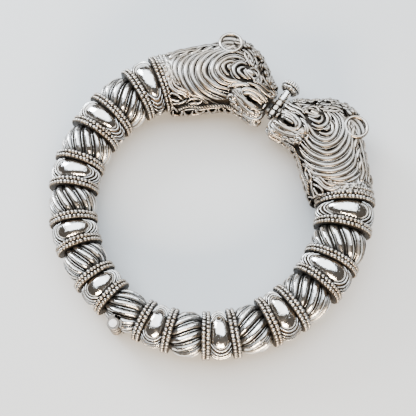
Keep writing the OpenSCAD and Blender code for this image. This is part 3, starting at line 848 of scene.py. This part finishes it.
def napeShells():
    # Short overlapping locks along the back: each slants towards the cheek, v = v0 + 9 - slant * t^1.5
    # degrees, and rises to its tip
    shells = []
    for v0, shift in nape["rows"]:
        for lock in np.arange(nape["from"], nape["to"], nape["step"]) + shift:
            t = np.linspace(0, 1, 9)
            v = np.radians(v0 + np.sign(v0) * (9 - nape["slant"] * t ** 1.5))
            point, normal = skinFrame(lock + nape["lockLong"] * t, v)
            path = point + normal * (0.5 * t - 0.45)[:, None]
            shells.append(wireShell(path, normal, nape["wide"], nape["high"], 8, 0.1))
    return shells


ear = {
    "shares": {"left": 0.533, "right": 0.475},    # along the head
    "up": 1.05,               # past the head's outer edge
    "radius": 3.6,
    "out": 6.55,              # from the middle of the head
    "lean": -8,               # degrees
    "dish": 0.45,
    "thick": 0.62,
    "ridgeHigh": 0.22,
    "ridgeStep": 1.25,
    "rimRadius": 0.52,
}


def earShells(share, face):
    # Dished disc: a rim of round section and a bowl z = -dish * (1 - (r / R)^2) with crescent ridges
    turn = np.radians(head["fromTurn"] + (head["toTurn"] - head["fromTurn"]) * share)
    outward = np.array([np.sin(turn), -np.cos(turn), 0])
    along = np.array([np.cos(turn), np.sin(turn), 0])
    up = np.array([0, 0, float(face)])
    lean = np.radians(ear["lean"])
    out, normal = outward * np.cos(lean) + up * np.sin(lean), up * np.cos(lean) - outward * np.sin(lean)
    r = headEdges(share)[0] - ear["radius"] + ear["up"]
    middle = outward * r + np.array([0, 0, band["neckRadius"] + face * ear["out"]])
    u = circle(48)
    shares = np.concatenate([np.linspace(0.08, 1, 9), np.linspace(0.97, 0.06, 14)])
    isBack = (np.arange(len(shares)) < 9)[:, None]
    bowlRadius = ear["radius"] - ear["rimRadius"]
    radii = shares[:, None] * bowlRadius
    x, y = radii * np.cos(u), radii * np.sin(u)
    fromTip = np.hypot(x, y + ear["radius"] * 0.9)
    crescent = ear["ridgeHigh"] * np.abs(np.cos(np.pi * fromTip / ear["ridgeStep"])) ** 0.8
    bowl = -ear["dish"] * (1 - (radii / ear["radius"]) ** 2) + crescent
    height = np.where(isBack, -ear["thick"], bowl)
    rows = middle + x[..., None] * along + y[..., None] * out + height[..., None] * normal
    # Painted brightness: oxide and painted shade in the bowl, painted highlight on the crescent ridges, mid
    # on the back
    fade = np.where(isBack, 0.6, 0.04 + 3.2 * crescent)
    path = middle + bowlRadius * (np.cos(u)[:, None] * along + np.sin(u)[:, None] * out)
    wide, normals = ear["rimRadius"], np.tile(normal, (48, 1))
    return [gridShell(rows, fade), wireShell(path, normals, wide, wide * 1.25, 10, closed=True)]


def skinFrame(along, v):
    # Points of the skin, with normals = step along x step round
    step = 1e-3
    point = skinPoint(along, v)
    normal = unitOf(np.cross(skinPoint(along + step, v) - point, skinPoint(along, v + step) - point))
    return point, normal


# Raised lines: half width in mm, then hundredths of the way along the head and degrees round it from
# its outer edge
raisedLines = {
    "neck": [
        (0.40, [(3.4, 95), (2.0, 102), (1.6, 112), (3.2, 120), (6.4, 126), (11.0, 131), (14.2, 138),
            (15.4, 142)]),
        (0.40, [(6.0, 98), (5.4, 104), (6.4, 112), (9.2, 118), (13.0, 122), (16.4, 127), (18.4, 134),
            (18.4, 140)]),
        (0.28, [(3.8, 102), (3.6, 114), (6.2, 121), (10.2, 125), (14.2, 131), (16.4, 138)]),
        (0.34, [(-2.0, 131), (-2.0, 136), (-0.6, 142), (3.2, 146), (7.2, 146)]),
        (0.34, [(-1.6, 130), (1.8, 128), (5.4, 132), (8.4, 139), (11.0, 146)]),
        (0.32, [(-2.0, 130), (-2.0, 139), (-2.0, 147), (-0.6, 154), (5.0, 153), (10.6, 150), (14.6, 146)]),
        (0.34, [(12.6, 155), (16.0, 148), (19.0, 144), (23.8, 145), (28.4, 148)]),
        (0.34, [(14.4, 158), (20.6, 156), (26.2, 158), (29.6, 154), (31.2, 148)]),
        (0.34, [(19.6, 136), (24.8, 138), (30.0, 143), (34.6, 152), (37.8, 162)]),
    ],
    "rope": [
        (0.30, [(-2.0, 152), (-1.8, 160), (1.4, 173), (2.8, 182)]),
        (0.46, [(4.0, 170), (10.4, 164), (18.2, 163), (25.2, 168), (32.2, 169), (40.8, 168), (49.2, 168),
            (55.6, 169), (61.6, 170), (67.6, 176)]),
        (0.26, [(6.4, 178), (12.2, 174), (20.6, 174), (28.0, 178), (36.6, 177), (46.4, 176), (53.8, 176)]),
    ],
    "loops": [
        (0.42, [(-2.0, 179), (-2.0, 202), (1.0, 204), (4.8, 204), (6.8, 185), (8.0, 178)]),
        (0.42, [(9.6, 180), (11.0, 190), (14.4, 203), (17.6, 197), (19.4, 182)]),
        (0.42, [(22.8, 178), (24.4, 184), (27.8, 190), (31.4, 186), (33.4, 180)]),
        (0.42, [(37.0, 180), (38.8, 189), (42.0, 200), (45.0, 191), (47.0, 180)]),
        (0.42, [(49.2, 180), (50.8, 190), (53.2, 201), (55.8, 193), (57.0, 181)]),
        (0.38, [(54.2, 178), (57.8, 191), (61.6, 198), (64.8, 182)]),
        (0.34, [(57.4, 176), (63.0, 178), (67.4, 187)]),
    ],
    "muzzle": [
        (0.60, [(78.6, 112), (84.0, 105), (90.0, 97), (94.6, 96)]),
        (0.36, [(92.8, 109), (89.4, 114), (82.4, 124), (77.4, 128), (73.4, 126), (71.0, 122), (71.0, 116),
            (73.0, 110), (77.0, 103), (82.2, 96), (87.6, 90), (92.8, 86), (97.2, 86)]),
        (0.26, [(73.0, 118), (76.6, 110), (81.4, 102), (87.0, 94), (92.2, 90), (96.2, 91)]),
        (0.36, [(60.4, 118), (63.0, 113), (68.2, 107), (73.0, 102), (77.4, 100)]),
        (0.34, [(63.2, 122), (64.2, 118), (67.0, 113), (70.2, 108)]),
        (0.38, [(63.0, 122), (67.2, 129), (72.2, 132), (78.0, 133), (84.6, 128), (90.4, 122), (93.8, 127)]),
        (0.32, [(61.2, 127), (66.0, 132), (70.8, 133), (75.4, 134), (79.0, 136), (80.8, 144)]),
        (0.36, [(64.8, 150), (68.0, 140), (72.6, 139), (76.6, 142), (78.8, 150)]),
        (0.30, [(69.2, 148), (72.8, 146), (75.2, 152)]),
        (0.34, [(84.6, 140), (86.6, 128), (89.6, 121), (94.0, 118), (96.6, 124)]),
        (0.34, [(84.0, 152), (85.8, 139), (89.0, 134), (92.0, 134)]),
        (0.38, [(77.2, 168), (82.0, 167), (88.6, 158), (94.6, 148), (98.2, 141), (98.4, 125)]),
        (0.30, [(77.6, 184), (84.0, 184), (91.0, 178), (95.8, 176), (98.4, 176), (99.6, 163)]),
        (0.30, [(80.6, 92), (85.8, 88), (91.4, 81), (95.8, 82)]),
        (0.36, [(82.2, 85), (88.2, 77), (93.4, 70), (97.2, 72)]),
        (0.36, [(84.6, 70), (89.8, 59), (94.4, 54), (98.8, 58)]),
        (0.30, [(86.8, 58), (92.0, 44), (97.0, 44)]),
        (0.30, [(96.0, 106), (96.4, 98), (95.8, 92)]),
    ],
    "jaw": [
        (0.46, [(57.6, 150), (58.4, 141), (61.6, 137), (64.0, 142), (63.0, 149), (60.8, 148), (60.8, 144)]),
        (0.42, [(62.0, 162), (63.2, 154), (66.6, 152), (68.8, 157), (67.4, 163), (65.2, 161)]),
        (0.42, [(69.6, 168), (70.4, 160), (73.6, 157), (76.0, 161), (75.2, 168), (72.8, 167)]),
        (0.38, [(66.0, 172), (69.0, 176), (72.6, 177), (76.4, 176)]),
        (0.36, [(58.6, 132), (57.2, 126), (58.6, 120), (60.6, 122)]),
        (0.36, [(66.6, 146), (65.4, 138), (67.0, 134)]),
        (0.40, [(80.4, 150), (82.0, 143), (83.4, 148), (82.6, 156), (79.6, 160)]),
    ],
    "brow": [
        (0.85, [(69.3, 85), (72.6, 82), (77.0, 76)]),
        (0.46, [(60.2, 26), (62.8, 26), (63.4, 53), (66.0, 66), (70.6, 72)]),
        (0.40, [(66.6, 76), (67.8, 62), (66.0, 48), (67.0, 25), (69.4, 24), (71.0, 49), (69.6, 63),
            (71.6, 68), (74.6, 64)]),
        (0.40, [(73.0, 58), (72.2, 36), (73.4, 23), (75.2, 22), (75.0, 50), (75.0, 62), (77.4, 60)]),
        (0.42, [(63.8, 26), (67.0, 25), (69.8, 24), (72.8, 23)]),
        (0.42, [(73.2, 23), (75.8, 22), (77.4, 38), (80.2, 40)]),
        (0.42, [(76.8, 42), (79.4, 20), (82.2, 29), (81.8, 55), (84.2, 56)]),
        (0.36, [(75.4, 72), (78.8, 70), (81.4, 74), (80.8, 83)]),
        (0.36, [(76.6, 60), (80.6, 60), (83.2, 65), (83.2, 78)]),
        (0.36, [(82.2, 43), (84.8, 37), (86.6, 49), (85.6, 67)]),
        (0.34, [(67.6, 84), (70.0, 88), (73.6, 88), (77.8, 85), (79.8, 78)]),
    ],
}


tableScale = np.array([0.49, 0.14])    # about mm for a step of the table, along and round


def raisedPath(plan, face):
    # The table's points as a smooth path on the skin
    points = np.array(plan) * tableScale
    length = np.linalg.norm(np.diff(points, axis=0), axis=1).sum()
    line = smoothPath(points, int(5 + 2.4 * length)) / tableScale
    return skinFrame(line[:, 0] / 100, face * np.radians(line[:, 1]))


def raisedShells(face):
    # The lines of the table as wires, and its broad rope as two twisted ones
    shells = []
    for group, lines in raisedLines.items():
        for halfWide, plan in lines:
            if face < 0 and max(v for along, v in plan) > 170:
                continue      # the wrist opening's edge has one rope and one row of loops, on the upper side
            point, normal = raisedPath(plan, face)
            if group == "rope" and halfWide > 0.4:
                shells += twistedShells(point + normal * 0.1, normal, halfWide)
                continue
            sink = 0.75 if halfWide == 0.6 else 0.2    # the broad upper lip lies deeper
            halfHigh = min(0.4 + halfWide * 0.6, 0.62)
            shells.append(wireShell(point - normal * sink, normal, halfWide, halfHigh, 8, 0.25))
    return shells


def twistedShells(path, normal, halfWide):
    # Two wires wound round each other: path + wire * (cos(w s) across + sin(w s) normal)
    t = np.linspace(0, len(path) - 1, 4 * len(path))
    steps = np.arange(len(path))
    path, normal = [np.stack([np.interp(t, steps, c[:, i]) for i in range(3)], -1) for c in (path, normal)]
    s = np.append(0, np.cumsum(np.linalg.norm(np.diff(path, axis=0), axis=1)))
    across = np.cross(unitOf(np.gradient(path, axis=0)), normal)
    wire = halfWide * head["ropeWire"]
    shells = []
    for start in (0, np.pi):
        w = (turnAll * s / (head["ropePitch"] * halfWide) + start)[:, None]
        wound = path + wire * (np.cos(w) * across + np.sin(w) * normal)
        shells.append(wireShell(wound, normal, wire, wire, 6, 0.8))
    return shells


curls = {
    "rows": (0.585, 0.93, 11),    # from, to and how many, in shares along the head
    "columns": (-37, 37, 6),      # the same round its outer edge, in degrees
    "radii": (0.85, 1.3),
    "larger": 1.2,
    "turns": 1.3,
    "up": 0.5,
    "wire": (0.42, 0.44),         # half width and height as shares of a curl's radius
}


def curlWire(point, normal, radius, start, turns):
    # Spiral on the skin: point + radius * ((0.3 + 0.7 t) * (cos a * side + sin a * other) + rise * normal),
    # rise = 0.45 - 0.5 t, so that its middle stands up
    side = unitOf(np.cross(normal, sideways))
    other = np.cross(normal, side)
    t = np.linspace(0, 1, 11)[:, None]
    a = start + turns * turnAll * t
    flat = (0.3 + 0.7 * t) * (np.cos(a) * side + np.sin(a) * other)
    path = point + radius * (flat + (0.45 - 0.5 * t) * normal)
    wide, high = curls["wire"]
    return wireShell(path, np.tile(normal, (11, 1)), radius * wide, radius * high, 6, 1.0)


def browShells():
    # Curls over the brow, smaller towards the snout, and granules under the chin
    luck = np.random.RandomState(head["seed"])
    rows, columns = np.linspace(*curls["rows"]), np.radians(np.linspace(*curls["columns"]))
    along, v = np.meshgrid(rows, columns, indexing="ij")
    along = (along + luck.normal(0, 0.006, along.shape)).ravel()
    v = (v + luck.normal(0, 0.05, v.shape)).ravel()
    size = luck.uniform(*curls["radii"], along.size) * (1.08 - 0.45 * (along - 0.56) / 0.4)
    point, normal = skinFrame(along, v)
    starts = luck.uniform(0, turnAll, size.size)
    turns = luck.choice([-curls["turns"], curls["turns"]], size.size)
    spots = zip(point + normal * curls["up"], normal, size * curls["larger"], starts, turns)
    shells = [curlWire(*spot) for spot in spots]
    along, v = np.meshgrid(np.linspace(0.78, 0.98, 7), np.radians(np.linspace(150, 210, 6)), indexing="ij")
    along = (along + luck.normal(0, 0.006, along.shape)).ravel()
    point, normal = skinFrame(along, v.ravel())
    sizes = luck.uniform(0.4, 0.6, along.size)
    return shells + [scatterBalls(point - normal * 0.35, normal, sizes, 8, 5, 0.85, 0.5)]


def neckShells():
    # A row of granules round the neck, next to its collar
    v = (np.arange(60) + 0.5) * turnAll / 60
    v = v[np.cos(v) > -0.35]
    point, normal = skinFrame(np.full(len(v), 0.03), v)
    return [scatterBalls(point - normal * 0.3, normal, np.full(len(v), 0.5), 8, 5)]


def mirrored(shells):
    # x turned to -x, and the faces turned round with it
    flip = np.array([-1.0, 1, 1])
    return [(points * flip, quads[:, ::-1], tris[:, ::-1], fade) for points, quads, tris, fade in shells]


headShells = [headSkin()] + browShells() + neckShells() + napeShells()
for face in (1, -1):
    headShells += cheekShells(face) + raisedShells(face)
for sideName, side in sides.items():
    shells = headShells + earShells(ear["shares"][sideName], 1) + earShells(ear["shares"][sideName], -1)
    makePiece("carved_head_" + sideName, shells if side > 0 else mirrored(shells), sideName + "_half",
              oxidisedSilverWithShade, ["head_" + sideName])
print("heads made", sum(len(q) * 2 + len(t) for p, q, t, f in headShells), "triangles each")

# Screw pin with its knob
pin = {
    "radius": 0.9,
    "shankRadius": 1.25,      # between the loops and the knob
    "shankFrom": (35.9, 36.3),    # where it widens
    "threadTo": (35.6, 36.2),     # where the thread runs out
    "from": 29.7,
    "knobFrom": 39.4,
    "knobRadius": 2.75,
    "knobHeight": 3.75,
    "domeFrom": 0.4,          # share of the knob's height
    "domeHigh": 0.56,
    "threadPitch": 0.5,
    "threadDepth": 0.1,
    "lobes": 8,
    "lobeDepth": 0.09,        # share of the radius
    "grain": 0.36,
    "grainRings": ((8, 23), (22, 21), (36, 18), (50, 14), (64, 10), (77, 5), (89, 1)),    # degrees up, count
}
# Side of the knob under its dome: share of the radius, share of the height, and how bright it is painted:
# highlight where it bulges, shade under the dome's rim
knobSide = np.array([[0.36, 0.0, 0.2], [0.5, 0.0, 0.3], [0.62, 0.05, 0.6], [0.84, 0.1, 0.9], [0.97, 0.2, 1.0],
                     [0.98, 0.28, 0.9], [0.9, 0.34, 0.2], [0.86, 0.36, 0.1], [0.95, 0.38, 0.6]])


def alongPin(r, y, u):
    # Turned about the pin's axis: (r cos u, y, r sin u) at the height of the heads' middle
    return np.stack([r * np.cos(u), y + 0 * u, band["neckRadius"] + r * np.sin(u)], -1)


def pinShells():
    # Rod: r = radius - depth * (1 - cos(2 pi y / pitch - u)) / 2, thicker and plain near the knob
    u = circle(20)[None]
    y = np.arange(pin["from"], pin["knobFrom"] + 0.6, pin["threadPitch"] / 7)[:, None]
    threaded = 1 - stepUp(y, *pin["threadTo"])
    cut = pin["threadDepth"] * threaded * (1 - np.cos(turnAll * y / pin["threadPitch"] - u)) / 2
    thick = (pin["shankRadius"] - pin["radius"]) * stepUp(y, *pin["shankFrom"])
    # Painted shade in the thread's groove
    rod = gridShell(alongPin(pin["radius"] + thick - cut, y, u), 1 - cut / pin["threadDepth"])
    # Knob: a dome of radius * cos t over a lobed side, r * (1 - depth * (1 - |cos(lobes u / 2)|^0.6))
    u = circle(96)[None]
    t = np.radians(np.linspace(0, 86, 12))
    dome = np.stack([np.cos(t), pin["domeFrom"] + pin["domeHigh"] * np.sin(t), np.full(12, 0.45)], -1)
    profile = np.concatenate([knobSide, dome])
    lobed = (np.arange(len(profile)) < len(knobSide) - 1)[:, None]
    hollow = lobed * (1 - np.abs(np.cos(pin["lobes"] * u / 2)) ** 0.6)
    r = pin["knobRadius"] * profile[:, :1] * (1 - pin["lobeDepth"] * hollow)
    # Painted shade in the hollows between the lobes
    knob = gridShell(alongPin(r, pin["knobFrom"] + pin["knobHeight"] * profile[:, 1:2], u),
                     profile[:, 2:] - 0.5 * hollow)
    # Granules over the dome, each ring half a step round from the one below
    grains = []
    for k, (lift, count) in enumerate(pin["grainRings"]):
        a, up = (np.arange(count) + 0.5 * (k % 2)) * turnAll / count, np.radians(lift)
        flat = np.cos(up) + 0 * a
        y = pin["knobFrom"] + pin["knobHeight"] * (pin["domeFrom"] + pin["domeHigh"] * np.sin(up))
        outwards = unitOf(np.stack([flat * np.cos(a), 0.9 * np.sin(up) + 0 * a, flat * np.sin(a)], -1))
        spots = alongPin(pin["knobRadius"] * flat, y, a) - outwards * 0.1
        grains.append(scatterBalls(spots, outwards, np.full(count, pin["grain"]), 8, 5, 0.9, 0.45))
    return [rod, knob] + grains


loop = {
    "left": (31.3, 34.9),     # places along the pin
    "right": (33.1,),
    "radius": 1.15,
    "thick": 0.2,
    "halfLong": 0.78,
    "tabFrom": 1.1,
    "tabInto": 0.15,          # into the snout
    "tabHalfLong": 0.7,
    "tabHalfHigh": 1.05,
}


def loopShells(side, at):
    # Ring: a squarish section (radius + thick * c^0.5, at + long * s^0.4), c = cos t, s = sin t, turned about
    # the pin; tab: a flat bar of the same section to the snout
    t = circle(14)
    c = np.sign(np.cos(t)) * np.abs(np.cos(t)) ** 0.5
    s = np.sign(np.sin(t)) * np.abs(np.sin(t)) ** 0.4
    u = circle(40)[:, None]
    ring = ringShell(alongPin(loop["radius"] + loop["thick"] * c[None], at + loop["halfLong"] * s[None], u))
    x = side * np.linspace(loop["tabFrom"], head["front"] + loop["tabInto"], 4)[:, None]
    z = band["neckRadius"] + loop["tabHalfHigh"] * c
    tab = np.stack([x + 0 * t, at + loop["tabHalfLong"] * s + 0 * x, z + 0 * x], -1)
    return [ring, cappedShell(tab, np.full(tab.shape[:2], 0.6), 2)]


for name, sideName, node in (("clasp_loops_left", "left", "clasp_eyes_left"),
                             ("clasp_loop_right", "right", "clasp_eye_right")):
    shells = [shell for at in loop[sideName] for shell in loopShells(sides[sideName], at)]
    makePiece(name, shells, sideName + "_half", oxidisedSilverWithShade, [node], 50)
makePiece("lobed_screw_pin", pinShells(), "clasp_pin", brightSilver, ["clasp_pin"], 50)
print("pin made")

# Floor, light and camera
studio = {
    "floorHalf": 2.0,         # in metres
    "floorColour": (0.62, 0.62, 0.61, 1),
    "floorRoughness": 0.7,
    "around": (0.10, 0.09, 0.08, 1),
}
far = studio["floorHalf"]
corners = [(x * far, y * far, 0) for x, y in ((-1, -1), (1, -1), (1, 1), (-1, 1))]
floorMesh = bpy.data.meshes.new("floor")
floorMesh.from_pydata(corners, [], [(0, 1, 2, 3)])
floor = bpy.data.objects.new("floor", floorMesh)
bpy.context.scene.collection.objects.link(floor)
floorPaint = bpy.data.materials.new("pale_floor")
floorPaint.use_nodes = True
paintShader = floorPaint.node_tree.nodes["Principled BSDF"]
paintShader.inputs["Base Color"].default_value = studio["floorColour"]
paintShader.inputs["Roughness"].default_value = studio["floorRoughness"]
floorMesh.materials.append(floorPaint)

lamps = {
    # name: place in mm, size in mm, power in W, colour
    "topLamp": ((-110, 140, 420), (880, 640), 9.0, (0.82, 0.91, 1.0)),
    "windowLamp": ((-380, 60, 190), (160, 160), 2.5, (0.80, 0.89, 1.0)),
    "frontLamp": ((250, -330, 180), (260, 110), 5.0, (1.0, 0.82, 0.62)),
}
for name, (place, size, power, colour) in lamps.items():
    lamp = bpy.data.lights.new(name, "AREA")
    lamp.shape = "RECTANGLE"
    lamp.size, lamp.size_y = size[0] * mm, size[1] * mm
    lamp.energy = power
    lamp.color = colour
    lampObject = bpy.data.objects.new(name, lamp)
    lampObject.location = Vector(place) * mm
    lampObject.rotation_euler = (-Vector(place)).to_track_quat("-Z", "Y").to_euler()
    bpy.context.scene.collection.objects.link(lampObject)

world = bpy.data.worlds.new("studio")
world.use_nodes = True
world.node_tree.nodes["Background"].inputs["Color"].default_value = studio["around"]
world.node_tree.nodes["Background"].inputs["Strength"].default_value = 1.0
bpy.context.scene.world = world

view = {
    "azimuth": 35.32,         # degrees from -Y towards +X
    "elevation": 71.72,
    "distance": 230.7,        # mm from the aim
    "aim": (-0.09, -0.04, 0.0),
    "lens": 70.0,
}
azimuth, elevation = np.radians(view["azimuth"]), np.radians(view["elevation"])
flat = np.cos(elevation)
towards = Vector((np.sin(azimuth) * flat, -np.cos(azimuth) * flat, np.sin(elevation)))
lens = bpy.data.cameras.new("camera")
lens.lens = view["lens"]
lens.sensor_width = 36.0
lens.clip_start = 0.01
camera = bpy.data.objects.new("camera", lens)
camera.location = (Vector(view["aim"]) + towards * view["distance"]) * mm
camera.rotation_euler = towards.to_track_quat("Z", "Y").to_euler()
bpy.context.scene.collection.objects.link(camera)
bpy.context.scene.camera = camera
print("stage set")
